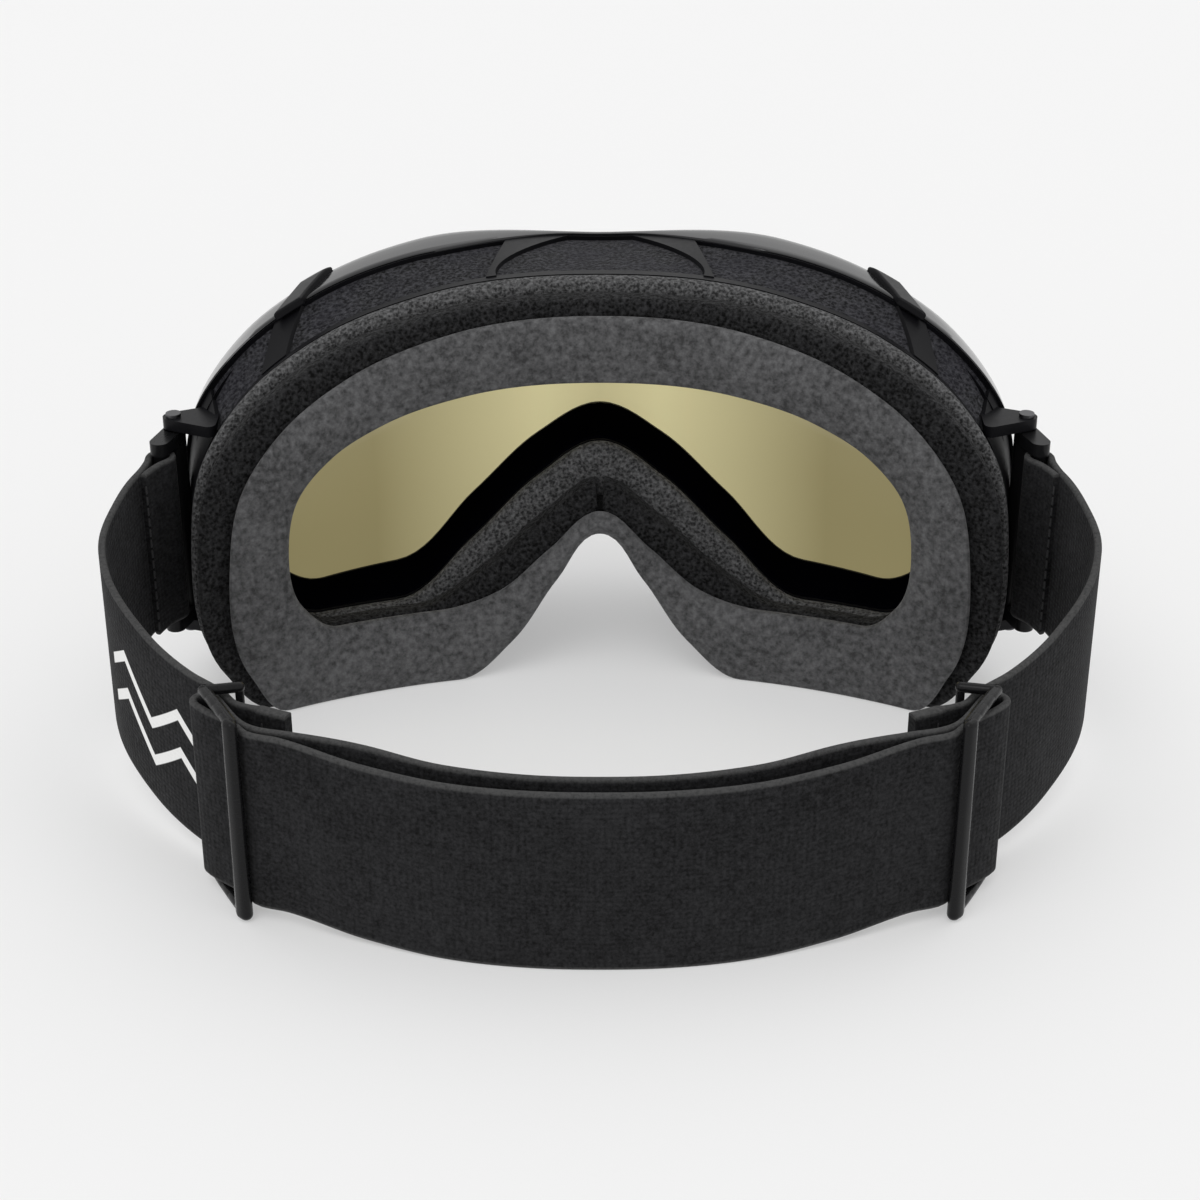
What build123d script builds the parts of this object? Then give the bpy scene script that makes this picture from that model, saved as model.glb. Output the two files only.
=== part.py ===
"""Ski goggles with a double lens, a vented frame, three-layer face foam and an adjustable strap.

Millimetres. +Z is up, the wearer's head is towards +Y and the lens looks towards -Y. The goggles
stand on the floor, on the lower edge of the face foam, the sliders and the rear of the strap. The
origin is on the floor, in the middle of the overall width and depth.
"""

import os
from collections import namedtuple
from math import cos, hypot, radians, sin, sqrt

from build123d import *

# ---- Overall sizes ----
overall_depth = 170.0  # lens apex to the outside of the rear strap
rim_half_width = 94.5
brow_z = 95.5  # the two high points of the brow
brow_dip = 4.0  # how far the middle of the brow lies below them
flange_step = 3.7  # from the rim in to the edge of the flange and the face foam
face_half_width = rim_half_width - flange_step
face_top_z = brow_z - flange_step

# ---- Lens set ----
lens_radius = 130.0  # in plan
lens_barrel_radius = 420.0  # upright
lens_mid_z = 50.0
outer_lens_wall = 1.4
lens_gap = 4.6
inner_lens_wall = 0.9
gasket_width = 4.6
seat_clearance = 0.35

# ---- Hard frame ----
rim_band = 4.2  # width of the band round the lens
rim_wall = 2.0
rim_depth = 9.0
rim_lip = 0.6  # how far the rim stands proud of the lens
frame_wall = 2.2
front_plate_wall = 2.6
flange_wall = 2.4
fit_gap = 0.3  # between pieces that are assembled or that move
brow_flange_y = -53.0  # rear of the flange in the middle of the brow
face_radius = 165.0
face_slope = 0.08  # the cheeks reach further back than the brow

# ---- Foam ----
base_foam = 5.0
middle_foam = 6.0
fleece = 3.0
vent_foam_wall = 3.2

# ---- Strap ----
strap_width = 40.0
strap_wall = 1.5
strap_swell = 10.2  # how far the strap stands out past the hinges
rear_layer_step = 5.0  # between the middles of the two rear layers
hem_step = 1.1  # extra thickness of the hems
strap_clearance = 0.5  # to the arms and rails above and below it
side_edge_z = 19.3  # lower edge of the strap at the outriggers
slider_edge_z = 3.0  # and at the sliders

# ---- Outriggers ----
hinge_stand_off = 0.9  # outwards from the rim
hinge_set_back = 11.7735  # behind the lens surface at the rim
hinge_radius = 2.4
pin_radius = 1.0
pin_play = 0.05
strap_bar_radius = 1.6
strap_bar_reach = 7.6  # from the hinge
arm_height = 3.0
ear_height = 2.6

# ---- Sliders, in plan from the middle of each: along the strap, and out from the head ----
slider_x = 73.4
slider_from_rear = 25.0
slider_angle = 54.0  # degrees, heading of the strap between slider and outrigger
loop_bar = (7.4, 0.0)  # the rear strap is folded round this one
front_bar = (-7.4, 1.95)  # and passes inside this one
hold_bar = (4.5, -6.3)  # the side strap passes between this one and the fold
loop_bar_radius = 1.2
hold_bar_radius = 0.9
front_bar_width = 3.4
front_bar_wall = 2.0
rail_height = 2.6
rail_width = 3.2

reach = 160.0  # more than half of any overall size, for solids that are then cut to shape

lens_apex_y = -overall_depth / 2
lens_axis_y = lens_apex_y + lens_radius
hinge_x = rim_half_width + hinge_stand_off
hinge_y = lens_axis_y - sqrt(lens_radius**2 - rim_half_width**2) + hinge_set_back
strap_span_x = hinge_x + strap_swell
slider_y = overall_depth / 2 - slider_from_rear
inner_lens_front = outer_lens_wall + lens_gap
inner_lens_back = inner_lens_front + inner_lens_wall
frame_front = inner_lens_back + fit_gap
strap_rear_y = overall_depth / 2 - strap_wall / 2

# Front view outlines, symmetrical about x = 0. The upper part is a rounded arch from the middle of
# the brow to the widest point. The lower part runs down to a flat foot and up into the nose arch,
# which is bell-shaped for flare 1 and pointed for flare 0.
Outline = namedtuple("Outline", "half top dip side_z foot_out foot_in foot_z nose_z arch flare")


def outline_area(o):
    """The area inside an outline, in the front view."""
    crown = []
    for angle in (22, 40, 56, 73):
        x = o.half * sin(radians(angle)) ** (2 / o.arch)
        z = o.side_z + (o.top - o.side_z) * cos(radians(angle)) ** (2 / o.arch)
        crown.append((x, z))
    corner = o.half - o.foot_out
    rise = o.nose_z - o.foot_z
    with BuildSketch() as area:
        with BuildLine():
            Spline(
                (0, o.top - o.dip),
                *crown,
                (o.half, o.side_z),
                (o.half - 0.27 * corner, o.foot_z + 0.28 * (o.side_z - o.foot_z)),
                (o.foot_out, o.foot_z),
                tangents=[(1, 0), (-1, 0)],
            )
            Line((o.foot_out, o.foot_z), (o.foot_in, o.foot_z))
            Spline(
                (o.foot_in, o.foot_z),
                (0.62 * o.foot_in, o.foot_z + (0.25 + 0.16 * o.flare) * rise),
                (0.30 * o.foot_in, o.foot_z + (0.68 + 0.12 * o.flare) * rise),
                (0, o.nose_z),
                tangents=[(-1, 0), (-1, 0)],
            )
            mirror(about=Plane.YZ)
        make_face()
    return area.sketch


def inset(o, wall):
    """The outline a wall further in."""
    return o._replace(
        half=o.half - wall,
        top=o.top - wall,
        foot_out=o.foot_out - 0.7 * wall,
        foot_in=o.foot_in + 0.9 * wall,
        foot_z=o.foot_z + wall,
        nose_z=o.nose_z + wall,
    )


rim_edge = Outline(rim_half_width, brow_z, brow_dip, 48, 73, 39, 3, 42, 2.5, 1)
lens_seat = inset(rim_edge, rim_band)
lens_edge = inset(lens_seat, seat_clearance)
frame_edge = inset(rim_edge, rim_wall + fit_gap)
aperture = Outline(rim_half_width - 11.5, brow_z - 9, 3.2, 46, 67, 50, 13.2, 50, 2.5, 1)
flange_edge = Outline(face_half_width, face_top_z, 0, 41, 76, 37, 0, 39, 2.4, 0.3)
base_hole = Outline(face_half_width - 10.4, face_top_z - 9.6, 0, 44, 65, 48, 16, 52.4, 2.45, 0.8)
middle_edge = inset(flange_edge, 2.2)._replace(foot_z=0, nose_z=37)
middle_hole = Outline(face_half_width - 15.8, face_top_z - 15, 0, 42, 62, 43, 17, 46, 2.35, 0.3)
fleece_edge = Outline(face_half_width - 8, face_top_z - 4.4, 0, 38, 71, 33, 0, 35, 2.25, 0)
fleece_hole = Outline(face_half_width - 21, face_top_z - 20.5, 0, 39, 60, 38, 17.6, 40, 2.35, -0.6)


def prism(outline, hole=None):
    """An outline, or the ring between two, carried through the whole depth of the goggles."""
    with BuildPart() as solid:
        with BuildSketch(Plane.XZ.offset(reach)):
            add(outline_area(outline))
            if hole:
                add(outline_area(hole), mode=Mode.SUBTRACT)
        extrude(amount=-2 * reach)
    return solid.part


def behind_lens(depth, shift=0.0):
    """Everything further in than a depth below the lens surface, or than that surface moved back."""
    bow = lens_barrel_radius - sqrt(lens_barrel_radius**2 - reach**2 / 4)
    front_y = lens_apex_y + depth + shift
    with BuildPart() as solid:
        with BuildSketch(Plane.YZ):
            with BuildLine():
                ThreePointArc(
                    (front_y + bow, lens_mid_z - reach / 2),
                    (front_y, lens_mid_z),
                    (front_y + bow, lens_mid_z + reach / 2),
                )
                Polyline(
                    (front_y + bow, lens_mid_z + reach / 2),
                    (lens_axis_y + shift, lens_mid_z + reach / 2),
                    (lens_axis_y + shift, lens_mid_z - reach / 2),
                    (front_y + bow, lens_mid_z - reach / 2),
                )
            make_face()
        revolve(axis=Axis((0, lens_axis_y + shift, 0), (0, 0, 1)))
        with BuildSketch(Plane.XZ.offset(reach)):
            Rectangle(4 * reach, 4 * reach)
        extrude(amount=-(reach + lens_axis_y), mode=Mode.INTERSECT)
    return solid.part


def behind_face(depth):
    """Everything further back than a depth behind the rear of the flange."""
    foot_y = brow_flange_y + face_slope * face_top_z
    leaning = Plane((0, foot_y + face_radius, 0), x_dir=(1, 0, 0), z_dir=(0, -face_slope, 1))
    with BuildPart() as solid:
        with BuildSketch(leaning.offset(-reach)):
            Circle(face_radius - depth)
        extrude(amount=2 * reach)
    return solid.part


def box(low, high):
    """A block between two corners."""
    with BuildPart() as solid:
        with BuildSketch(Plane.XY.offset(low[2])):
            with Locations(((low[0] + high[0]) / 2, (low[1] + high[1]) / 2)):
                Rectangle(high[0] - low[0], high[1] - low[1])
        extrude(amount=high[2] - low[2])
    return solid.part


def write(part, name):
    """Labels a finished piece and writes its STEP file."""
    part.label = name
    export_step(part, f"parts/{name}.step")


def write_pair(part, name):
    """Writes the piece for the wearer's left, at +X, and its mirror image."""
    write(part, f"{name}_left")
    write(mirror(part, about=Plane.YZ), f"{name}_right")


os.makedirs("parts", exist_ok=True)

# ---- Lens set ----
with BuildPart() as outer_lens:
    add(prism(lens_edge))
    add(behind_lens(0), mode=Mode.INTERSECT)
    add(behind_lens(outer_lens_wall), mode=Mode.SUBTRACT)
write(outer_lens.part, "outer_lens")

with BuildPart() as lens_gasket:
    add(prism(inset(lens_edge, 0.3), inset(lens_edge, 0.3 + gasket_width)))
    add(behind_lens(outer_lens_wall), mode=Mode.INTERSECT)
    add(behind_lens(inner_lens_front), mode=Mode.SUBTRACT)
write(lens_gasket.part, "lens_gasket")

with BuildPart() as inner_lens:
    add(prism(lens_edge))
    add(behind_lens(inner_lens_front), mode=Mode.INTERSECT)
    add(behind_lens(inner_lens_back), mode=Mode.SUBTRACT)
write(inner_lens.part, "inner_lens")

# ---- Rim ----
# A band round the lens, with a thinner skirt behind it that the frame plugs into.
with BuildPart() as front_rim:
    add(prism(rim_edge, lens_seat))
    add(behind_lens(0, -rim_lip), mode=Mode.INTERSECT)
    with BuildPart(mode=Mode.PRIVATE) as frame_socket:
        add(prism(inset(rim_edge, rim_wall)))
        add(behind_lens(inner_lens_back), mode=Mode.INTERSECT)
    add(frame_socket.part, mode=Mode.SUBTRACT)
    add(behind_lens(0, rim_depth), mode=Mode.SUBTRACT)
write(front_rim.part, "front_rim")

# ---- Frame ----
plate_back = frame_front + front_plate_wall
# Windows of the brow in plan, on the wearer's left. Each runs from the plate's side to the flange's.
brow_windows = (
    ((0, -90), (7, -76), (18, -67), (24.5, -54), (24.5, -40), (0, -40)),
    ((21.5, -90), (21.5, -74), (27, -53), (27, -40), (71.8, -30), (71.8, -39), (66, -56), (66, -90)),
    ((72, -90), (72, -51), (77, -35), (77, -20), (84, -20), (84, -90)),
)

with BuildPart() as chassis:
    # Outer wall with its windows: a wide arch in the middle of the brow, a long one each side of it
    # and a triangular one at each temple, behind the strut.
    add(prism(frame_edge, inset(frame_edge, frame_wall)))
    with BuildSketch(Plane.XY.offset(lens_mid_z + 10)):
        for side in (1, -1):
            for window in brow_windows:
                with BuildLine():
                    Polyline(*[(side * x, y) for x, y in window], close=True)
                make_face()
    extrude(amount=reach, mode=Mode.SUBTRACT)
    # Cheek windows underneath, and the nose arch, which has a wall of its own further in.
    for side in (1, -1):
        add(
            box((min(side * 53, side * 76), -90, -5), (max(side * 53, side * 76), 0, 25)),
            mode=Mode.SUBTRACT,
        )
    add(box((-47, -90, -5), (47, 0, 60)), mode=Mode.SUBTRACT)
    with BuildPart(mode=Mode.PRIVATE) as nose_wall:
        add(prism(inset(aperture, -frame_wall), aperture))
        add(box((-49, -100, -5), (49, 20, 60)), mode=Mode.INTERSECT)
    add(nose_wall.part)
    # Plate behind the lens set.
    with BuildPart(mode=Mode.PRIVATE) as front_plate:
        add(prism(frame_edge, aperture))
        add(behind_lens(plate_back), mode=Mode.SUBTRACT)
    add(front_plate.part)
    # Flange under the face foam.
    with BuildPart(mode=Mode.PRIVATE) as flange:
        add(prism(flange_edge, base_hole))
        add(behind_face(-flange_wall), mode=Mode.INTERSECT)
    add(flange.part)
    add(behind_lens(frame_front), mode=Mode.INTERSECT)
    add(behind_face(0), mode=Mode.SUBTRACT)
    # Hinge ears.
    low_ear_z = side_edge_z - strap_clearance - arm_height - fit_gap - ear_height
    high_ear_z = side_edge_z + strap_width + strap_clearance + arm_height + fit_gap
    for side in (1, -1):
        for z, root_x in ((low_ear_z, hinge_x - 9.5), (high_ear_z, hinge_x - 7.5)):
            with BuildSketch(Plane.XY.offset(z)):
                with Locations((side * hinge_x, hinge_y)):
                    Circle(hinge_radius)
                with Locations((side * (hinge_x + root_x) / 2, hinge_y)):
                    Rectangle(hinge_x - root_x, 2 * hinge_radius)
            extrude(amount=ear_height)
            with BuildSketch(Plane.XY.offset(z)):
                with Locations((side * hinge_x, hinge_y)):
                    Circle(pin_radius)
            extrude(amount=ear_height, mode=Mode.SUBTRACT)
write(chassis.part, "chassis")

# ---- Foam in the vents ----
vent_ring = (inset(frame_edge, frame_wall + 0.1), inset(frame_edge, frame_wall + vent_foam_wall))
vent_blocks = {
    "top_vent_foam": box((-71.8, -100, 60), (71.8, 20, 120)),
    "side_vent_foam": box((72.3, -100, 60), (83.5, 20, 120)),
    "bottom_vent_foam": box((54, -100, -5), (78, 20, 25)),
}
for vent_name, block in vent_blocks.items():
    with BuildPart() as vent_foam:
        add(prism(*vent_ring))
        add(behind_lens(plate_back + 0.1), mode=Mode.INTERSECT)
        add(behind_face(-flange_wall - 0.1), mode=Mode.SUBTRACT)
        add(block, mode=Mode.INTERSECT)
    if vent_name.startswith("top"):
        write(vent_foam.part, vent_name)
    else:
        write_pair(vent_foam.part, vent_name)

# ---- Face foam ----
layers = (
    ("face_foam_base", flange_edge, base_hole, 0, base_foam),
    ("face_foam_mid", middle_edge, middle_hole, base_foam, base_foam + middle_foam),
    (
        "face_fleece",
        fleece_edge,
        fleece_hole,
        base_foam + middle_foam,
        base_foam + middle_foam + fleece,
    ),
)
for layer_name, edge, hole, front, back in layers:
    with BuildPart() as layer:
        add(prism(edge, hole))
        add(behind_face(front), mode=Mode.INTERSECT)
        add(behind_face(back), mode=Mode.SUBTRACT)
    write(layer.part, layer_name)

# ---- Outriggers ----
strap_heading = (0.36, 0.93)  # where the strap leaves the outrigger, in plan
bar_x = hinge_x + 0.29 * strap_bar_reach
bar_y = hinge_y + 0.957 * strap_bar_reach
low_arm_z = side_edge_z - strap_clearance - arm_height
high_arm_z = side_edge_z + strap_width + strap_clearance
bar_top_z = high_arm_z + arm_height

with BuildPart() as outrigger:
    with BuildSketch(Plane.XY.offset(low_arm_z)):
        with Locations((hinge_x, hinge_y)):
            Circle(hinge_radius)
    extrude(amount=bar_top_z - low_arm_z)
    for z in (low_arm_z, high_arm_z):
        with BuildSketch(Plane.XY.offset(z)):
            with BuildLine():
                Line((hinge_x, hinge_y), (bar_x, bar_y))
            trace(line_width=2 * strap_bar_radius)
            with Locations((bar_x, bar_y)):
                Circle(strap_bar_radius + 0.6)
        extrude(amount=arm_height)
    with BuildSketch(Plane.XY.offset(low_arm_z)):
        with Locations((bar_x, bar_y)):
            Circle(strap_bar_radius)
    extrude(amount=bar_top_z - low_arm_z)
    with BuildSketch(Plane.XY.offset(low_arm_z)):
        with Locations((hinge_x, hinge_y)):
            Circle(pin_radius + pin_play)
    extrude(amount=bar_top_z - low_arm_z, mode=Mode.SUBTRACT)
write_pair(outrigger.part, "outrigger")

with BuildPart() as hinge_pin:
    with BuildSketch(Plane.XY.offset(low_ear_z)):
        with Locations((hinge_x, hinge_y)):
            Circle(pin_radius)
    extrude(amount=high_ear_z + ear_height - low_ear_z)
    for z in (low_ear_z - 0.8, high_ear_z + ear_height):
        with BuildSketch(Plane.XY.offset(z)):
            with Locations((hinge_x, hinge_y)):
                Circle(1.7 * pin_radius)
        extrude(amount=0.8)
write_pair(hinge_pin.part, "hinge_pin")

# ---- Sliders ----
heading = (cos(radians(slider_angle)), -sin(radians(slider_angle)))
outward = (-heading[1], heading[0])
rail_low_z = slider_edge_z - 0.4 - rail_height
rail_high_z = slider_edge_z + strap_width + 0.4


def at_slider(along, out):
    """A point in plan, from the slider's middle: along the strap, and out from the head."""
    return (
        slider_x + along * heading[0] + out * outward[0],
        slider_y + along * heading[1] + out * outward[1],
    )


with BuildPart() as slider:
    for z in (rail_low_z, rail_high_z):
        with BuildSketch(Plane.XY.offset(z)):
            with BuildLine():
                Line(at_slider(*loop_bar), at_slider(*front_bar))
            trace(line_width=rail_width)
            with BuildLine():
                Line(at_slider(*loop_bar), at_slider(*hold_bar))
            trace(line_width=2 * hold_bar_radius + 0.8)
            with Locations(at_slider(*loop_bar)):
                Circle(rail_width / 2)
            with Locations(at_slider(*hold_bar)):
                Circle(hold_bar_radius + 0.4)
            with Locations(at_slider(*front_bar)):
                RectangleRounded(
                    front_bar_width + 0.6, front_bar_wall + 0.8, 0.9, rotation=-slider_angle
                )
        extrude(amount=rail_height)
    with BuildSketch(Plane.XY.offset(rail_low_z)):
        with Locations(at_slider(*loop_bar)):
            Circle(loop_bar_radius)
        with Locations(at_slider(*hold_bar)):
            Circle(hold_bar_radius)
        with Locations(at_slider(*front_bar)):
            RectangleRounded(front_bar_width, front_bar_wall, 0.7, rotation=-slider_angle)
        with Locations(at_slider(front_bar[0], front_bar[1] + front_bar_wall / 2)):
            Circle(0.7)
    extrude(amount=rail_high_z + rail_height - rail_low_z)
write_pair(slider.part, "slider")

# ---- Straps ----
# Their lower edge, seen from the side, is high at the outriggers and comes down to the floor at the
# rear. The bands are ribbons in plan, cut to that side view.
rear = overall_depth / 2
edge_points = (
    (hinge_y - 6, side_edge_z),
    (bar_y + 3, side_edge_z),
    (bar_y + 39, 0.62 * side_edge_z),
    (slider_y - 15, slider_edge_z + 0.7),
    (slider_y - 9, slider_edge_z),
    (slider_y + 9, slider_edge_z),
    (rear - 9, 0.9),
    (rear - 2.5, 0),
    (rear + 4, 0),
)


def side_band():
    """The side view of the strap, carried through the whole width."""
    with BuildPart() as solid:
        with BuildSketch(Plane.YZ.offset(-reach)):
            with BuildLine():
                Polyline(*edge_points)
                Polyline(*[(y, z + strap_width) for y, z in edge_points])
                for y, z in (edge_points[0], edge_points[-1]):
                    Line((y, z), (y, z + strap_width))
            make_face()
        extrude(amount=2 * reach)
    return solid.part


def ribbon(path, wall, steps):
    """The area half a wall to each side of a row of joined edges, in plan."""
    sides = ([], [])
    for edge in path:
        for step in range(steps + (edge is path[-1])):
            point, way = edge @ (step / steps), edge % (step / steps)
            for side, half in zip(sides, (wall / 2, -wall / 2)):
                side.append((point.X - half * way.Y, point.Y + half * way.X))
    with BuildSketch() as area:
        with BuildLine():
            Spline(*sides[0])
            Spline(*sides[1])
            Line(sides[0][0], sides[1][0])
            Line(sides[0][-1], sides[1][-1])
        make_face()
    return area.sketch


# The rear strap is one flat loop, folded round the two sliders.
fold = loop_bar_radius + fit_gap + strap_wall / 2
under_front_bar = front_bar[1] - front_bar_wall / 2 - fit_gap - strap_wall / 2
inner_rear_y = strap_rear_y - rear_layer_step
outer_run = Spline(
    (0, strap_rear_y),
    (0.16 * slider_x, strap_rear_y - 0.4),
    (0.41 * slider_x, strap_rear_y - 3.4),
    (0.61 * slider_x, strap_rear_y - 8.2),
    at_slider(front_bar[0] - 7.2, under_front_bar - 4.1),
    at_slider(front_bar[0] - 1.0, under_front_bar - 0.1),
    at_slider(front_bar[0] + 2.2, under_front_bar),
    at_slider(loop_bar[0], loop_bar[1] + fold),
    tangents=[(1, 0), heading],
)
turn = ThreePointArc(
    at_slider(loop_bar[0], loop_bar[1] + fold),
    at_slider(loop_bar[0] + fold, loop_bar[1]),
    at_slider(loop_bar[0], loop_bar[1] - fold),
)
inner_run = Spline(
    at_slider(loop_bar[0], loop_bar[1] - fold),
    at_slider(front_bar[0], under_front_bar - strap_wall - fit_gap - 0.2),
    at_slider(front_bar[0] - 7.0, under_front_bar - 7.2),
    (0.61 * slider_x, inner_rear_y - 8.0),
    (0.41 * slider_x, inner_rear_y - 3.4),
    (0.16 * slider_x, inner_rear_y - 0.4),
    (0, inner_rear_y),
    tangents=[(-heading[0], -heading[1]), (-1, 0)],
)
with BuildPart() as strap_rear:
    with BuildSketch():
        add(ribbon((outer_run, turn, inner_run), strap_wall, 12))
        mirror(about=Plane.YZ)
    extrude(amount=reach)
    add(side_band(), mode=Mode.INTERSECT)
write(strap_rear.part, "strap_rear")

# Each side strap is looped round the outrigger's bar and sewn, and ends in a thick hem behind the
# slider.
loop_radius = strap_bar_radius + fit_gap
stride = hypot(*strap_heading)
sewn_end = (
    bar_x + 9 * strap_heading[0] / stride + strap_wall / 2 * strap_heading[1],
    bar_y + 9 * strap_heading[1] / stride - strap_wall / 2 * strap_heading[0],
)
sewn_tail = (bar_x + 9.4 * strap_heading[0], bar_y + 9.4 * strap_heading[1])
beside_fold = -fold - strap_wall - fit_gap - 0.15
side_run = Spline(
    at_slider(-7.8, -10.1),
    at_slider(-2.4, -7.1),
    at_slider(3.0, beside_fold),
    at_slider(loop_bar[0], beside_fold),
    at_slider(loop_bar[0] + 10, beside_fold + 2.2),
    at_slider(loop_bar[0] + 27, beside_fold + 4.0),
    (strap_span_x - 2.4, bar_y + 41),
    (strap_span_x, bar_y + 31),
    (strap_span_x - 1.2, bar_y + 19),
    sewn_end,
    tangents=[(1, -0.4), (-strap_heading[0], -strap_heading[1])],
)
hem_run = Line(at_slider(-8.0, -10.2), at_slider(-2.0, -6.9))
sewn_run = Line((bar_x, bar_y), sewn_tail)
with BuildPart() as strap_side:
    with BuildSketch():
        add(ribbon((side_run,), strap_wall, 30))
        add(ribbon((hem_run,), strap_wall + hem_step, 2))
        add(ribbon((sewn_run,), 2 * strap_wall, 2))
        with Locations((bar_x, bar_y)):
            Circle(loop_radius + strap_wall)
            Circle(loop_radius, mode=Mode.SUBTRACT)
    extrude(amount=reach)
    add(side_band(), mode=Mode.INTERSECT)
write_pair(strap_side.part, "strap_side")
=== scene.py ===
"""Ski goggles: the finished pieces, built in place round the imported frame.

Shapes are worked out in millimetres and scaled once, when a piece becomes an object. +Z is up, the
wearer's head is towards +Y, the lens looks towards -Y and +X is the wearer's left.
"""

from collections import namedtuple
from math import ceil, cos, pi, radians, sin, sqrt

import bmesh
import bpy
from mathutils import Matrix, Vector


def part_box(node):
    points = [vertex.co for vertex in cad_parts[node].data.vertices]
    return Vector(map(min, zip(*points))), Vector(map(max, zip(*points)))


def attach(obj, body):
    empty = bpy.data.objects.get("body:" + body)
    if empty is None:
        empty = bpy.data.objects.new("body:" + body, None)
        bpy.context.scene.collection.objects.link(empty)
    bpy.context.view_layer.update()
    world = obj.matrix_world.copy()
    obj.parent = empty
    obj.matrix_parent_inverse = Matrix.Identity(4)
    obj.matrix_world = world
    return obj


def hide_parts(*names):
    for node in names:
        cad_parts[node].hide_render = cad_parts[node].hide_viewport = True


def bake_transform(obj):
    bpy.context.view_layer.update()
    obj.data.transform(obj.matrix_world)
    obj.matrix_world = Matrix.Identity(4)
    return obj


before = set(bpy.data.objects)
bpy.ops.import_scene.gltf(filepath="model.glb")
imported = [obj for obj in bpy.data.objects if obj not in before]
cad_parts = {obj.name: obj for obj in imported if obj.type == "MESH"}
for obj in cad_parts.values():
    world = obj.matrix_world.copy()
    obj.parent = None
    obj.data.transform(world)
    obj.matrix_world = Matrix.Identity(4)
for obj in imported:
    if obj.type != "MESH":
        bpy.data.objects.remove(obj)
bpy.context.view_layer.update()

bl_info = {
    "name": "Ski Goggles",
    "version": (1, 0, 0),
    "blender": (4, 5, 0),
    "location": "3D View > Sidebar > Goggles",
    "description": "Builds the finished pieces of a pair of ski goggles on their packed frame",
    "category": "Add Mesh",
}

MM = 0.001  # metres in a millimetre
SIDES = (("left", 1), ("right", -1))


def box_mm(node):
    """Lowest and highest corner of a node of the frame, in millimetres."""
    return [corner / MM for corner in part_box(node)]


# ---- Surfaces that the pieces are laid on ----
LENS_RADIUS = 130.0
LENS_BARREL = 420.0
LENS_MID_Z = 50.0
LENS_AXIS_Y = box_mm("outer_lens")[0].y + LENS_RADIUS
OUTER_LENS_WALL = 1.4
INNER_LENS_FRONT = 6.0
INNER_LENS_BACK = 6.9
RIM_DEPTH = 9.0
RIM_BROW_REACH = 12.2
RIM_NOSE_REACH = 1.8
PLATE_FRONT = 7.2
PLATE_BACK = 9.8
FLANGE_WALL = 2.4
BROW_FLANGE_Y = -53.0
FACE_TOP_Z = 91.8
FACE_RADIUS = 165.0
FACE_SLOPE = 0.08
FOAM_DEPTHS = (0.0, 5.0, 11.0, 14.0)  # behind the flange: base, middle, fleece
FOAM_SWELL, FLEECE_SWELL = 0.35, 0.1  # how far the sides of a layer bulge
SLIT_DEPTH = 4.5  # of the seam over the nose, in the middle layer


def lens_y(point, depth=0.0, shift=0.0):
    """How far back the lens surface is at a point (x, z), a depth under it or moved back."""
    x, z = point
    bow = LENS_BARREL - sqrt(LENS_BARREL**2 - (z - LENS_MID_Z) ** 2)
    return LENS_AXIS_Y + shift - sqrt((LENS_RADIUS - depth - bow) ** 2 - x**2)


def face_y(point, depth=0.0):
    """How far back the barrel of the face is at a point (x, z), a depth behind the flange."""
    x, z = point
    lean = FACE_SLOPE * (FACE_TOP_Z - z)
    return BROW_FLANGE_Y + lean + FACE_RADIUS - sqrt((FACE_RADIUS - depth) ** 2 - x**2)


def ease(value, low, high):
    """Rises smoothly from 0 at low to 1 at high."""
    t = max(0.0, min(1.0, (value - low) / (high - low)))
    return t * t * (3 - 2 * t)


def rim_back(point):
    """How far behind the lens surface the rim reaches. It is short over the nose."""
    x, z = point
    over_brow = RIM_NOSE_REACH + (RIM_BROW_REACH - RIM_NOSE_REACH) * ease(abs(x), 5, 40)
    return RIM_DEPTH + (over_brow - RIM_DEPTH) * ease(z, 62, 80)


def behind_rim(more):
    """The surface a little behind the rim's rear edge."""
    return lambda point: lens_y(point, 0, rim_back(point) + more)


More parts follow.
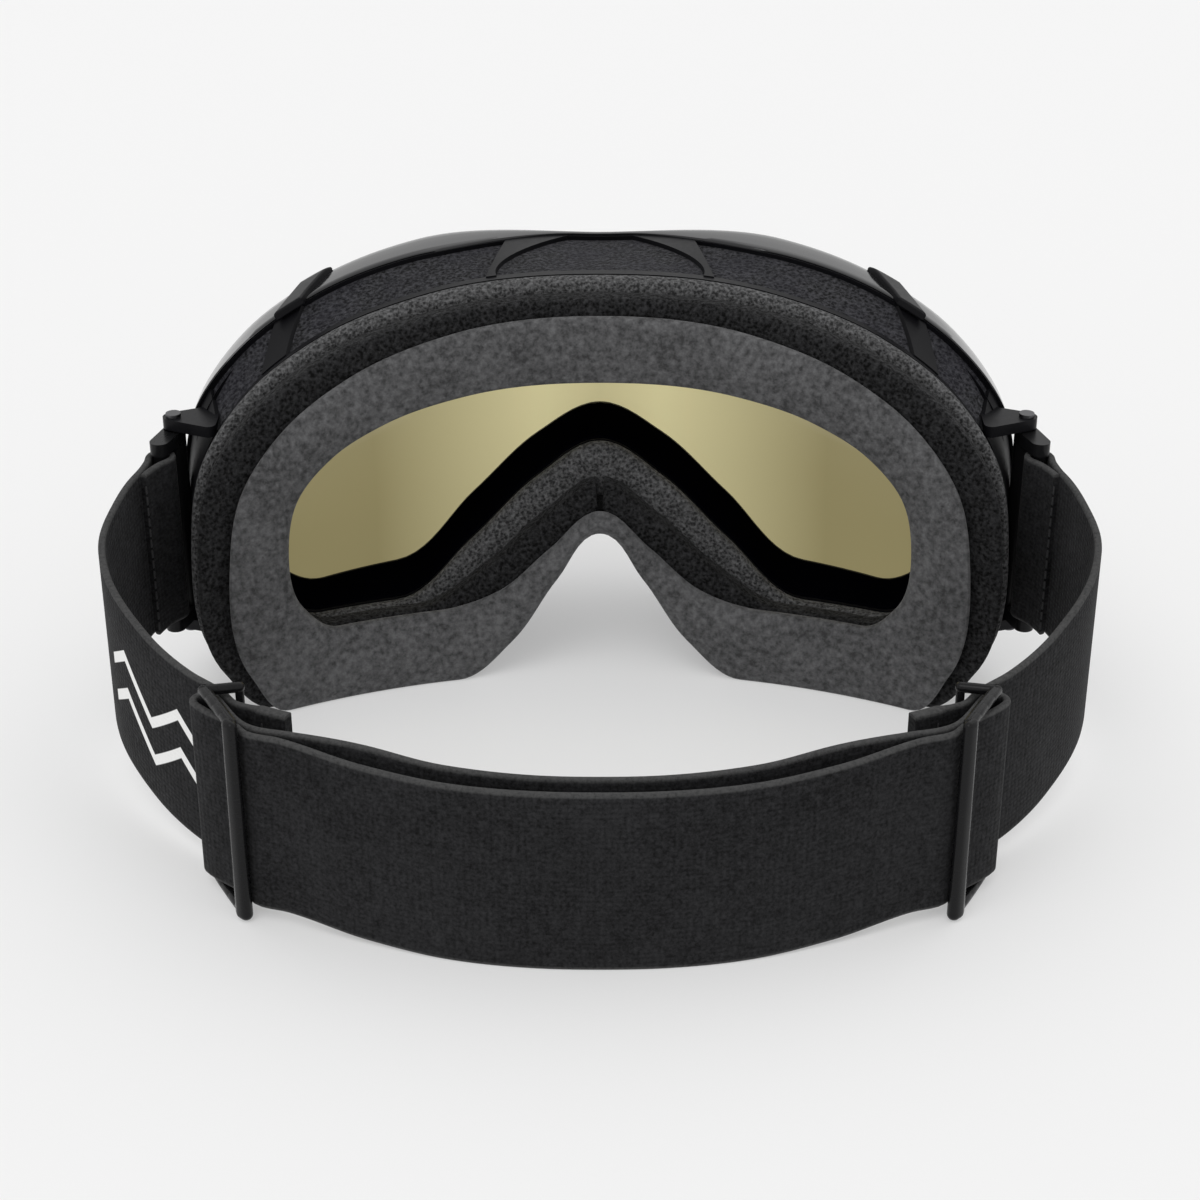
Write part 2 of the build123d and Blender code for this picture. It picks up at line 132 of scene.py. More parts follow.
class Line:
    """A smooth curve through knots. A knot is a point and the direction there, or None."""

    def __init__(self, knots):
        self.points = [Vector(point) for point, way in knots]
        self.lengths = [(b - a).length for a, b in zip(self.points, self.points[1:])]
        self.ways = []
        last = len(knots) - 1
        for i, (point, way) in enumerate(knots):
            if way is not None:
                self.ways.append(Vector(way).normalized())
                continue
            into = (self.points[i] - self.points[i - 1]) / self.lengths[i - 1] if i else None
            out = (self.points[i + 1] - self.points[i]) / self.lengths[i] if i < last else None
            if into is None or out is None:
                self.ways.append(out or into)
                continue
            before, after = self.lengths[i - 1], self.lengths[i]
            self.ways.append((into * after + out * before) / (before + after))

    @property
    def end(self):
        return float(len(self.lengths))

    def at(self, s):
        """The point at s, which counts knots."""
        i = max(0, min(int(s), len(self.lengths) - 1))
        t, length = s - i, self.lengths[i]
        return (
            (2 * t**3 - 3 * t**2 + 1) * self.points[i]
            + (t**3 - 2 * t**2 + t) * length * self.ways[i]
            + (3 * t**2 - 2 * t**3) * self.points[i + 1]
            + (t**3 - t**2) * length * self.ways[i + 1]
        )

    def way(self, s):
        """The direction at s."""
        step = 0.01
        return (self.at(min(s + step, self.end)) - self.at(max(s - step, 0))).normalized()

    def where(self, axis, value, low, high):
        """The s, between two others, where a coordinate that only rises or falls has a value."""
        rises = self.at(high)[axis] > self.at(low)[axis]
        for _ in range(40):
            middle = (low + high) / 2
            if (self.at(middle)[axis] < value) == rises:
                low = middle
            else:
                high = middle
        return (low + high) / 2

    def stations(self, step, start=0.0, stop=None, fewest=3):
        """Values of s about a step apart, from start to stop."""
        stop = self.end if stop is None else stop
        found = [start]
        for i, length in enumerate(self.lengths):
            low, high = max(start, i), min(stop, i + 1)
            if high > low:
                count = max(fewest, ceil(length * (high - low) / step))
                found += [low + (high - low) * (k + 1) / count for k in range(count)]
        return found


# ---- Front view outlines ----
Outline = namedtuple("Outline", "half top dip side_z foot_out foot_in foot_z nose_z arch flare")
SIDE = 5.0  # the knot at the widest point


def outline_line(o):
    """The half of an outline at x > 0, from the middle of the brow round to the nose."""
    knots = [((0, o.top - o.dip), (1, 0))]
    for angle in (22, 40, 56, 73):
        x = o.half * sin(radians(angle)) ** (2 / o.arch)
        z = o.side_z + (o.top - o.side_z) * cos(radians(angle)) ** (2 / o.arch)
        knots.append(((x, z), None))
    corner = o.half - o.foot_out
    rise = o.nose_z - o.foot_z
    knots += [
        ((o.half, o.side_z), None),
        ((o.half - 0.27 * corner, o.foot_z + 0.28 * (o.side_z - o.foot_z)), None),
        ((o.foot_out, o.foot_z), (-1, 0)),
        ((o.foot_in, o.foot_z), (-1, 0)),
        ((0.62 * o.foot_in, o.foot_z + (0.25 + 0.16 * o.flare) * rise), None),
        ((0.30 * o.foot_in, o.foot_z + (0.68 + 0.12 * o.flare) * rise), None),
        ((0, o.nose_z), (-1, 0)),
    ]
    return Line(knots)


def inset(o, wall):
    """The outline a wall further in."""
    return o._replace(
        half=o.half - wall,
        top=o.top - wall,
        foot_out=o.foot_out - 0.7 * wall,
        foot_in=o.foot_in + 0.9 * wall,
        foot_z=o.foot_z + wall,
        nose_z=o.nose_z + wall,
    )


RIM_EDGE = Outline(94.5, 95.5, 4, 48, 73, 39, 3, 42, 2.5, 1)
LENS_SEAT = inset(RIM_EDGE, 4.2)
LENS_EDGE = inset(LENS_SEAT, 0.35)
FRAME_EDGE = inset(RIM_EDGE, 2.3)
APERTURE = Outline(83, 86.5, 3.2, 46, 67, 50, 13.2, 50, 2.5, 1)
FLANGE_EDGE = Outline(90.8, 91.8, 0, 41, 76, 37, 0, 39, 2.4, 0.3)
BASE_HOLE = Outline(80.4, 82.2, 0, 44, 65, 48, 16, 52.4, 2.45, 0.8)
MIDDLE_EDGE = inset(FLANGE_EDGE, 2.2)._replace(foot_z=0, nose_z=37)
MIDDLE_HOLE = Outline(75, 76.8, 0, 42, 62, 43, 17, 46, 2.35, 0.3)
FLEECE_EDGE = Outline(81.9, 86.4, 0, 38, 71, 33, 0, 35, 2.25, 0)
FLEECE_HOLE = Outline(69.8, 71.3, 0, 39, 60, 38, 17.6, 40, 2.35, -0.6)

# ---- Fittings, as the frame holds them ----
HINGE = Vector((95.4, -32.5))
HINGE_RADIUS = 2.4
BAR = HINGE + Vector((0.29, 0.957)) * 7.6
BAR_RADIUS = 1.6
ARM_HEIGHT = 3.0
ARM_LOW_Z, ARM_HIGH_Z = 15.8, 59.8
EAR_LOW_Z, EAR_HIGH_Z, EAR_HEIGHT = 12.9, 63.1, 2.6
SLIDER = Vector((73.4, 60.0))
SLIDER_TURN = Matrix.Rotation(radians(-54), 2)
LOOP_BAR, FRONT_BAR, HOLD_BAR = (7.4, 0.0), (-7.4, 1.95), (4.5, -6.3)
SLIDER_TOP_Z = 46.0
CLIP_WIDTH = 0.38  # of the temple clip, in knots of the rim's outline
STRAP_WIDTH = 40.0
STRAP_WALL = 1.5
STRAP_WAY = Vector((0.36, 0.93)).normalized()  # where the strap leaves the outrigger
STRAP_OUT = Vector((STRAP_WAY.y, -STRAP_WAY.x))


def at_slider(along, out):
    """A point in plan, from the left slider's middle: along the strap, and out from the head."""
    return SLIDER + SLIDER_TURN @ Vector((along, out))


# Lower edge of the strap against y.
STRAP_EDGE = Line(
    [
        ((-40, 19.3), (1, 0)),
        ((-22, 19.3), None),
        ((14, 12.0), None),
        ((45, 3.7), None),
        ((54, 3.0), (1, 0)),
        ((68, 3.0), (1, 0)),
        ((76, 0.9), None),
        ((83, 0.0), (1, 0)),
        ((90, 0.0), (1, 0)),
    ]
)


def strap_low(y):
    """Height of the strap's lower edge."""
    return STRAP_EDGE.at(STRAP_EDGE.where(0, y, 0, STRAP_EDGE.end)).y


FOLD = 2.25  # radius of the middle of the rear strap round the slider's bar
REAR_PATH = Line(
    [
        ((0, 84.25), (1, 0)),
        ((11.74, 83.85), None),
        ((30.09, 80.85), None),
        ((44.77, 76.05), None),
        (at_slider(-14.6, -4.2), None),
        (at_slider(-8.4, -0.2), None),
        (at_slider(-5.2, -0.1), None),
        (at_slider(7.4, FOLD), at_slider(1, 0) - SLIDER),
    ]
    + [
        (at_slider(7.4 + FOLD * sin(radians(a)), FOLD * cos(radians(a))), None)
        for a in (45, 90, 135)
    ]
    + [
        (at_slider(7.4, -FOLD), at_slider(-1, 0) - SLIDER),
        (at_slider(-7.4, -2.1), None),
        (at_slider(-14.4, -7.3), None),
        ((44.77, 71.25), None),
        ((30.09, 75.85), None),
        ((11.74, 78.85), None),
        ((0, 79.25), (-1, 0)),
    ]
)
LOOP_RADIUS = 2.65  # middle of the side strap round the outrigger's bar
SEWN_STEP = 0.78  # from the middle of the sewn end to the middle of either layer
SEWN_LENGTH = 9.0
SIDE_PATH = Line(
    [
        (at_slider(-7.8, -10.1), None),
        (at_slider(-2.4, -7.1), None),
        (at_slider(3.0, -4.2), None),
        (at_slider(7.4, -4.2), None),
        (at_slider(17.4, -2.0), None),
        (at_slider(34.4, -0.2), None),
        ((103.2, 15.77), None),
        ((105.6, 5.77), None),
        ((104.4, -6.23), None),
        (BAR + SEWN_LENGTH * STRAP_WAY + SEWN_STEP * STRAP_OUT, -STRAP_WAY),
        (BAR + 3.6 * STRAP_WAY + 1.5 * STRAP_OUT, None),
        (BAR + LOOP_RADIUS * STRAP_OUT, -STRAP_WAY),
        (BAR - LOOP_RADIUS * STRAP_WAY, -STRAP_OUT),
        (BAR - LOOP_RADIUS * STRAP_OUT, STRAP_WAY),
        (BAR + 3.6 * STRAP_WAY - 1.5 * STRAP_OUT, None),
        (BAR + SEWN_LENGTH * STRAP_WAY - SEWN_STEP * STRAP_OUT, STRAP_WAY),
    ]
)
SIDE_SPLIT = 6.3  # between the piece of the side strap by the slider and the one by the outrigger
SEWN_KNOT = 9.0
HEM_STEP, HEM_END = 1.1, 1.25  # extra thickness of the side strap's end, and where it stops


# ---- Mesh helpers ----
def lofted(columns, rows, place, uv=None):
    """A grid laid over place(column, row), with what meets merged. uv gives metres, if wanted."""
    bm = bmesh.new()
    layer = bm.loops.layers.uv.new("UVMap")
    bmesh.ops.create_grid(bm, x_segments=columns, y_segments=rows, size=0.5)
    where = {
        vert: (round((vert.co.x + 0.5) * columns), round((vert.co.y + 0.5) * rows))
        for vert in bm.verts
    }
    for vert, (i, j) in where.items():
        vert.co = place(i, j)
    if uv:
        for face in bm.faces:
            for loop in face.loops:
                loop[layer].uv = uv(*where[loop.vert])
    bmesh.ops.remove_doubles(bm, verts=bm.verts, dist=1e-4)
    bmesh.ops.holes_fill(bm, edges=bm.edges)
    bmesh.ops.recalc_face_normals(bm, faces=bm.faces)
    return bm


def joined(parts):
    """One bmesh of several."""
    whole = bmesh.new()
    for bm in parts:
        mesh = bpy.data.meshes.new("part")
        bm.to_mesh(mesh)
        bm.free()
        whole.from_mesh(mesh)
        bpy.data.meshes.remove(mesh)
    return whole


def soft_section(width, depth, radius, crown=0.0, steps=3, spans=4):
    """Points round a rounded rectangle: across from its outer edge, and back from its front."""
    near, far, deep = radius, width - radius, depth - radius
    corners = ((near, near), (near, deep), (far, deep), (far, near))
    flats = (((0, near), (0, deep)), ((near, depth), (far, depth)), ((width, deep), (width, near)))
    points = []
    for n, (a, b) in enumerate(corners):
        for step in range(steps + 1):
            angle = radians(270 - 90 * n - 90 * step / steps)
            points.append((a + radius * cos(angle), b + radius * sin(angle)))
        if n == len(flats):
            break
        (a0, b0), (a1, b1) = flats[n]
        for f in (span / spans for span in range(1, spans)):
            rise = crown * 4 * f * (1 - f) if n == 1 else 0
            points.append((a0 + (a1 - a0) * f, b0 + (b1 - b0) * f + rise))
    return points


SLIT_COLUMNS = (0.07, 0.045, 0.0)  # before the last knot: the slit's edge, its wall, its middle


def round_loop(step=2.2):
    """Columns of a ring: s and side, all the way round, closer together at the nose seam."""
    reference = outline_line(RIM_EDGE)
    half = reference.stations(step)
    half = [s for s in half if s < reference.end - 0.1]
    half += [reference.end - near for near in SLIT_COLUMNS]
    return [(s, 1) for s in half] + [(s, -1) for s in reversed(half[1:-1])]


def soft_ring(outer, inner, front, back, depth, radius, crown=0.0, seam=0.0, swell=0.0):
    """A padded ring between two outlines and two surfaces."""
    columns = round_loop()
    lines = outline_line(outer), outline_line(inner)
    rows = len(soft_section(4, 4, 1))
    sections = []
    for s, side in columns:
        a, b = (line.at(s) for line in lines)
        width = (b - a).length
        dent = seam if s > lines[0].end - SLIT_COLUMNS[0] + 0.02 else 0
        ring = []
        for across, along in soft_section(width, depth, min(radius, width / 2.2), crown):
            if dent and across > 0.4 * width:
                across -= dent
            bulge = swell * 4 * along * (depth - along) / depth**2
            across += bulge * (2 * across / width - 1)
            point = a.lerp(b, across / width)
            y = front(point) + (back(point) - front(point)) * along / depth
            ring.append(Vector((side * point.x, y, point.y)))
        sections.append(ring)
    return lofted(len(columns), rows, lambda i, j: sections[i % len(columns)][j % rows])


def profile_ring(profile):
    """A hard ring. The profile is a closed row of (outline, surface) pairs."""
    columns = round_loop()
    lines = [(outline_line(outline), surface) for outline, surface in profile]

    def place(i, j):
        s, side = columns[i % len(columns)]
        line, surface = lines[j % len(lines)]
        point = line.at(s)
        return Vector((side * point.x, surface(point), point.y))

    return lofted(len(columns), len(lines), place)


def wall_patch(outer, inner, edges, side, across=8, along=14, start=-0.6):
    """Part of a wall between the rim and the flange.

    outer and inner are each an outline at the rim and one at the flange. edges are two rows of
    three stations: at the rim, half-way and at the flange. A station under 0 is on the other side.
    """
    lines = [[outline_line(o) for o in pair] for pair in (outer, inner)]

    def place(i, j):
        v = i / along
        layer, u = (0, j / across) if j <= across else (1, (2 * across + 1 - j) / across)
        ends = [
            a * (1 - v) * (1 - 2 * v) + 4 * b * v * (1 - v) + c * v * (2 * v - 1)
            for a, b, c in edges
        ]
        s = ends[0] + (ends[1] - ends[0]) * u
        point = lines[layer][0].at(abs(s)).lerp(lines[layer][1].at(abs(s)), v)
        front, back = behind_rim(start)(point), face_y(point, 0.6 - FLANGE_WALL)
        x = side * point.x * (1 if s > 0 else -1)
        return Vector((x, front + (back - front) * v, point.y))

    rows = 2 * across + 2
    return lofted(along, rows, lambda i, j: place(i, j % rows))


def hull(bm):
    """Wraps what a bmesh holds."""
    bmesh.ops.convex_hull(bm, input=bm.verts)
    loose = [vert for vert in bm.verts if not vert.link_faces]
    bmesh.ops.delete(bm, geom=loose, context="VERTS")
    bmesh.ops.recalc_face_normals(bm, faces=bm.faces)
    return bm


def prism(points, low, high):
    """The hull of circles (x, y, radius) in plan, between two heights."""
    bm = bmesh.new()
    for x, y, radius in points:
        for z in (low, high):
            bmesh.ops.create_circle(
                bm, segments=32, radius=radius, matrix=Matrix.Translation((x, y, z))
            )
    return hull(bm)


def ball_hull(balls, segments=16):
    """The hull of balls, each a centre and a radius."""
    bm = bmesh.new()
    for centre, radius in balls:
        bmesh.ops.create_uvsphere(
            bm,
            u_segments=segments,
            v_segments=max(4, segments // 2),
            radius=radius,
            matrix=Matrix.Translation(centre),
        )
    bmesh.ops.delete(bm, geom=bm.edges, context="EDGES_FACES")
    return hull(bm)


def capsule(a, b, radius, segments=16):
    """A rod with round ends."""
    return ball_hull(((a, radius), (b, radius)), segments)


def mirrored(bm):
    """The same shape for the wearer's right."""
    bmesh.ops.scale(bm, vec=(-1, 1, 1), verts=bm.verts)
    bmesh.ops.reverse_faces(bm, faces=bm.faces)
    return bm


def finished(bm, name, finish, slot, body=None, replaces=(), bevel=0.0, crease=35, side=1):
    """Makes the object: scales it to metres, shades it and ties it to the frame.

    A side of -1 turns a shape made for the wearer's left into the right one.
    """
    if side < 0:
        bm = mirrored(bm)
    bmesh.ops.scale(bm, vec=(MM, MM, MM), verts=bm.verts)
    mesh = bpy.data.meshes.new(name)
    bm.to_mesh(mesh)
    bm.free()
    mesh.shade_smooth()
    mesh.set_sharp_from_angle(angle=radians(crease))
    mesh.materials.append(finish)
    piece = bpy.data.objects.new(name, mesh)
    bpy.context.scene.collection.objects.link(piece)
    if bevel:
        edge = piece.modifiers.new("edges", "BEVEL")
        edge.width = bevel * MM
        edge.segments = 2
        edge.limit_method = "ANGLE"
        edge.angle_limit = radians(40)
        edge.harden_normals = True
    if body:
        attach(piece, body)
    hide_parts(*replaces)
    return piece


# ---- Shader helpers ----
class Link:
    """An output socket that takes part in arithmetic."""

    def __init__(self, finish, socket):
        self.finish = finish
        self.socket = socket

    def math(self, operation, *values):
        return self.finish.out(
            "ShaderNodeMath", {"operation": operation}, dict(enumerate(values))
        )

    def __add__(self, other):
        return self.math("ADD", self, other)

    __radd__ = __add__

    def __mul__(self, other):
        return self.math("MULTIPLY", self, other)

    __rmul__ = __mul__

    def __sub__(self, other):
        return self.math("SUBTRACT", self, other)

    def __rsub__(self, other):
        return self.math("SUBTRACT", other, self)

    def __abs__(self):
        return self.math("ABSOLUTE", self)

    def under(self, limit, blur):
        """1 below a limit and 0 above it, with a soft edge."""
        return self.finish.out(
            "ShaderNodeMapRange",
            {"interpolation_type": "SMOOTHSTEP"},
            {"Value": self, "From Min": limit - blur, "From Max": limit + blur,
             "To Min": 1.0, "To Max": 0.0},
        )


class Finish:
    """A material being made, with the nodes that feed its shader."""

    def __init__(self, name, **constants):
        self.material = bpy.data.materials.new(name)
        self.material.use_nodes = True
        self.tree = self.material.node_tree
        self.shader = self.tree.nodes["Principled BSDF"]
        for label, value in constants.items():
            self.shader.inputs[label.replace("_", " ")].default_value = value

    def out(self, kind, settings=None, inputs=None, output=0):
        """Adds a node with its settings and then its inputs, and gives one of its outputs."""
        node = self.tree.nodes.new(kind)
        for setting, value in (settings or {}).items():
            setattr(node, setting, value)
        for label, value in (inputs or {}).items():
            if isinstance(value, Link):
                self.tree.links.new(value.socket, node.inputs[label])
            else:
                node.inputs[label].default_value = value
        return Link(self, node.outputs[output])

    def feed(self, label, link):
        """Joins a link to one of the shader's own sockets."""
        self.tree.links.new(link.socket, self.shader.inputs[label])

    def place(self):
        """Object coordinates, in metres."""
        return self.out("ShaderNodeTexCoord", output="Object")

    def axis(self, vector, label):
        return self.out("ShaderNodeSeparateXYZ", None, {"Vector": vector}, output=label)

    def wave(self, length, period):
        """A sine along a length."""
        return self.out("ShaderNodeMath", {"operation": "SINE"}, {0: length * (2 * pi / period)})

    def noise(self, vector, scale, detail=3.0, roughness=0.6):
        return self.out(
            "ShaderNodeTexNoise",
            {"noise_dimensions": "3D"},
            {"Vector": vector, "Scale": scale, "Detail": detail, "Roughness": roughness},
        )

    def cells(self, vector, scale):
        return self.out(
            "ShaderNodeTexVoronoi", {"feature": "F1"}, {"Vector": vector, "Scale": scale}
        )

    def blend(self, factor, first, second):
        """A colour between two."""
        first, second = (
            colour if isinstance(colour, Link) else (*colour[:3], 1.0)
            for colour in (first, second)
        )
        return self.out(
            "ShaderNodeMix", {"data_type": "RGBA"}, {0: factor, 6: first, 7: second}, output=2
        )

    def spread(self, value, low, high, to_low=0.0, to_high=1.0):
        """A value taken from one range to another, and held there."""
        return self.out(
            "ShaderNodeMapRange",
            None,
            {"Value": value, "From Min": low, "From Max": high, "To Min": to_low,
             "To Max": to_high},
        )

    def bump(self, height, strength, distance):
        self.feed(
            "Normal",
            self.out(
                "ShaderNodeBump",
                None,
                {"Strength": strength, "Distance": distance * MM, "Height": height},
            ),
        )


def tint(colour, share):
    """A colour made darker or lighter."""
    return tuple(min(1.0, channel * share) for channel in colour[:3])


def hard_plastic(name, colour, roughness, coat, shine=0.5):
    """Moulded plastic with a faint grain. A shine of 0.5 is plain plastic."""
    finish = Finish(name, Coat_Weight=coat, Coat_Roughness=0.03, IOR=1.45,
                    Specular_IOR_Level=shine)
    place = finish.place()
    grain = finish.noise(place, 900)
    smear = finish.noise(place, 45)
    finish.feed("Base Color", finish.blend(smear, tint(colour, 0.8), tint(colour, 1.25)))
    finish.feed("Roughness", finish.spread(grain * 0.5 + smear * 0.5, 0.3, 0.7,
                                           roughness * 0.85, roughness * 1.2))
    finish.bump(grain, 0.35 * roughness, 0.05)
    return finish.material


def open_foam(name, colour, pore, contrast, cast=0.0, seam=False):
    """Open-cell foam: fine pale and dark speckle. The pores are about pore millimetres across.

    With a seam, the slit over the nose, where the strip's ends meet, gets painted shade inside.
    """
    finish = Finish(name, Roughness=0.95, Sheen_Weight=0.04, Sheen_Roughness=0.5,
                    Specular_IOR_Level=0.15)
    place = finish.place()
    scale = 1 / (pore * MM)
    pores = finish.cells(place, scale)
    grit = finish.noise(place, scale, 3.0, 0.7)
    cloud = finish.noise(place, 60)
    level = finish.spread(grit * 0.85 + pores * 0.3, 0.45, 0.75)
    mixed = finish.blend(level, tint(colour, 1 - contrast), tint(colour, 1 + 2.2 * contrast))
    cool = tuple(c * f for c, f in zip(tint(colour, 1.1), (1.0, 0.95, 1.3)))
    shade = finish.spread(cloud, 0.4, 0.65, 0.0, cast)
    mixed = finish.blend(shade, mixed, cool)
    if seam:
        # Painted shade: black inside the slit over the nose.
        painted_slit_shade = abs(finish.axis(place, "X")).under(0.75 * MM, 0.3 * MM)
        painted_slit_shade = painted_slit_shade * finish.axis(place, "Z").under(60 * MM, MM)
        mixed = finish.blend(painted_slit_shade, mixed, (0, 0, 0))
    finish.feed("Base Color", mixed)
    finish.bump(level, 0.8, 0.4 * pore)
    return finish.material


def brushed_fleece(name, colour):
    """Short brushed pile, matted in small tufts."""
    finish = Finish(name, Roughness=1.0, Sheen_Weight=0.12, Sheen_Roughness=0.5,
                    Specular_IOR_Level=0.15)
    place = finish.place()
    pile = finish.noise(place, 1300, 3.0, 0.7)
    tufts = finish.noise(place, 620, 2.0, 0.6)
    patches = finish.noise(place, 45)
    level = finish.spread(pile * 0.3 + tufts * 0.6 + patches * 0.25, 0.44, 0.72)
    finish.feed("Base Color", finish.blend(level, tint(colour, 0.5), tint(colour, 1.6)))
    finish.bump(pile * 0.4 + tufts, 0.7, 0.45)
    return finish.material


# Webbing, in metres along the strap or up from its lower edge.
RIB_PITCH, PICK_PITCH = 0.0011, 0.0013
RIDGE_RUN, RIDGE_HEIGHT, RIDGE_LINE = 0.0105, 0.0085, 0.0013
RIDGE_BASES = (0.0105, 0.0195)
PRINT_MIDDLE, PRINT_HALF = 0.039, 0.0205


def knitted_web(name, colour, edge, ink=None):
    """Elastic webbing: fine ribs along the strap, felted speckle and paler edge threads.

    The UV map is in metres: along the strap, and up from its lower edge. With ink, two zigzag
    ridge lines are printed on it.
    """
    finish = Finish(name, Roughness=0.9, Sheen_Weight=0.04, Sheen_Roughness=0.4,
                    Specular_IOR_Level=0.12)
    uv = finish.out("ShaderNodeTexCoord", output="UV")
    along, up = finish.axis(uv, "X"), finish.axis(uv, "Y")
    fuzz = finish.noise(finish.place(), 1400, 3.0, 0.75)
    tufts = finish.noise(finish.place(), 500, 2.0)
    patches = finish.noise(finish.place(), 40)
    ribs, picks = finish.wave(up, RIB_PITCH), finish.wave(along, PICK_PITCH)
    level = finish.spread(
        fuzz * 0.65 + tufts * 0.25 + patches * 0.2 + ribs * 0.015 + picks * 0.015, 0.42, 0.72
    )
    body = finish.blend(level, tint(colour, 0.35), tint(colour, 2.2))
    half = STRAP_WIDTH * MM / 2
    border = 1 - abs(up - half).under(half - 0.7 * MM, 0.35 * MM)
    shade = finish.blend(border * finish.spread(fuzz, 0.3, 0.6, 0.45, 1.0), body, edge)
    if ink:
        saw = finish.out("ShaderNodeMath", {"operation": "PINGPONG"}, {0: along, 1: RIDGE_RUN})
        ridge = saw * (RIDGE_HEIGHT / RIDGE_RUN)
        lines = 0.0
        for base in RIDGE_BASES:
            lines = abs(up - ridge - base).under(RIDGE_LINE, 0.12 * MM) + lines
        span = abs(along - PRINT_MIDDLE).under(PRINT_HALF, 0.2 * MM)
        shade = finish.blend(lines * span, shade, ink)
    finish.feed("Base Color", shade)
    finish.bump(fuzz + tufts * 0.6 + ribs * 0.12 + picks * 0.12, 0.6, 0.25)
    return finish.material


def tinted_lens_with_painted_light(name, shaded_side_colour, lit_middle_colour, roughness, metallic, alpha, reach, painted_glow=0.0):
    """Coated lens whose tint is paler towards the middle, which is painted light, with painted
    shade at the very middle. If asked, it also emits its colour: painted light standing in for
    light that passes through it.
    """
    finish = Finish(name, Roughness=roughness, Metallic=metallic, IOR=1.5, Alpha=alpha,
                    Coat_Weight=0.6, Coat_Roughness=0.04)
    place = finish.place()
    off = abs(finish.axis(place, "X"))
    haze = finish.noise(place, 12, 1.0)
    # Painted light: the colour is paler towards the middle of the lens.
    level = finish.spread(off + haze * 0.006, 0.016, reach, 1.0, 0.0)
    # Painted shade: darker again at the very middle, by the nose arch.
    painted_middle_shade = finish.spread(off, 0.0, 0.016, 0.72, 1.0)
    shade = finish.blend(level * painted_middle_shade, shaded_side_colour, lit_middle_colour)
    finish.feed("Base Color", shade)
    # Painted light: the lens emits its own colour, standing in for light that passes through it.
    if painted_glow:
        finish.feed("Emission Color", shade)
        finish.shader.inputs["Emission Strength"].default_value = painted_glow
    return finish.material


def plain_finish(name, colour, roughness, metallic=0.0):
    """Thread, ink or blackened steel, with a little unevenness."""
    finish = Finish(name, Metallic=metallic, IOR=1.5)
    mottle = finish.noise(finish.place(), 700)
    finish.feed("Base Color", finish.blend(mottle, tint(colour, 0.75), tint(colour, 1.3)))
    finish.feed("Roughness", finish.spread(mottle, 0.3, 0.7, roughness * 0.8, roughness * 1.2))
    return finish.material


# ---- Settings ----
def colour_setting(name, description, default):
    return bpy.props.FloatVectorProperty(
        name=name, description=description, default=default, size=3, min=0, max=1,
        subtype="COLOR",
    )


def length_setting(name, description, default):
    return bpy.props.FloatProperty(
        name=name, description=description, default=default, min=0, unit="LENGTH",
    )


class GogglesColours(bpy.types.PropertyGroup):
    rim: colour_setting("Rim", "Gloss plastic round the lens", (0.005, 0.005, 0.006))
    shell: colour_setting("Frame", "Satin plastic of the frame", (0.005, 0.005, 0.006))
    fitting: colour_setting("Fittings", "Outriggers and sliders", (0.006, 0.006, 0.0065))
    vent: colour_setting("Vent foam", "Foam behind the windows", (0.018, 0.018, 0.020))
    base: colour_setting("Base foam", "Layer next to the frame", (0.060, 0.060, 0.061))
    middle: colour_setting("Middle foam", "Coarse dark layer", (0.0105, 0.0105, 0.011))
    fleece: colour_setting("Fleece", "Layer against the face", (0.082, 0.082, 0.084))
    strap: colour_setting("Strap", "Webbing", (0.013, 0.013, 0.0138))
    strap_edge: colour_setting("Strap edge", "Threads along the edges", (0.065, 0.065, 0.065))
    ink: colour_setting("Print", "Ridge lines on the strap", (0.85, 0.85, 0.84))
    # Painted light: the inner lens's gold, in painted shade at the sides and painted light in the
    # middle.
    lens_shaded_side: colour_setting("Lens, side", "Inner tint at the sides", (0.30, 0.26, 0.13))
    lens_lit_middle: colour_setting("Lens, middle", "Inner tint inwards", (0.72, 0.66, 0.38))
    mirror: colour_setting("Mirror", "Coat of the outer lens", (0.20, 0.17, 0.10))
    steel: colour_setting("Pins", "Blackened steel", (0.10, 0.10, 0.105))
    arch: colour_setting("Nose arch", "Smooth black wall under the lens", (0.001, 0.001, 0.002))
    floor: colour_setting("Floor", "Pale floor", (0.52, 0.52, 0.52))


class GogglesSizes(bpy.types.PropertyGroup):
    foam_rounding: length_setting("Foam rounding", "Edges of the foam layers", 1.6 * MM)
    fleece_crown: length_setting("Fleece crown", "Rise of the fleece", 0.9 * MM)
    hard_edge: length_setting("Hard edges", "Rounding of moulded edges", 0.5 * MM)
    strap_edge: length_setting("Strap edge", "Rounding of the webbing's edges", 0.55 * MM)
    thread: length_setting("Thread", "Radius of the sewing thread", 0.22 * MM)
    stitch: length_setting("Stitch", "From one stitch to the next", 2.6 * MM)


def settings(context):
    return context.scene.goggles_colours, context.scene.goggles_sizes


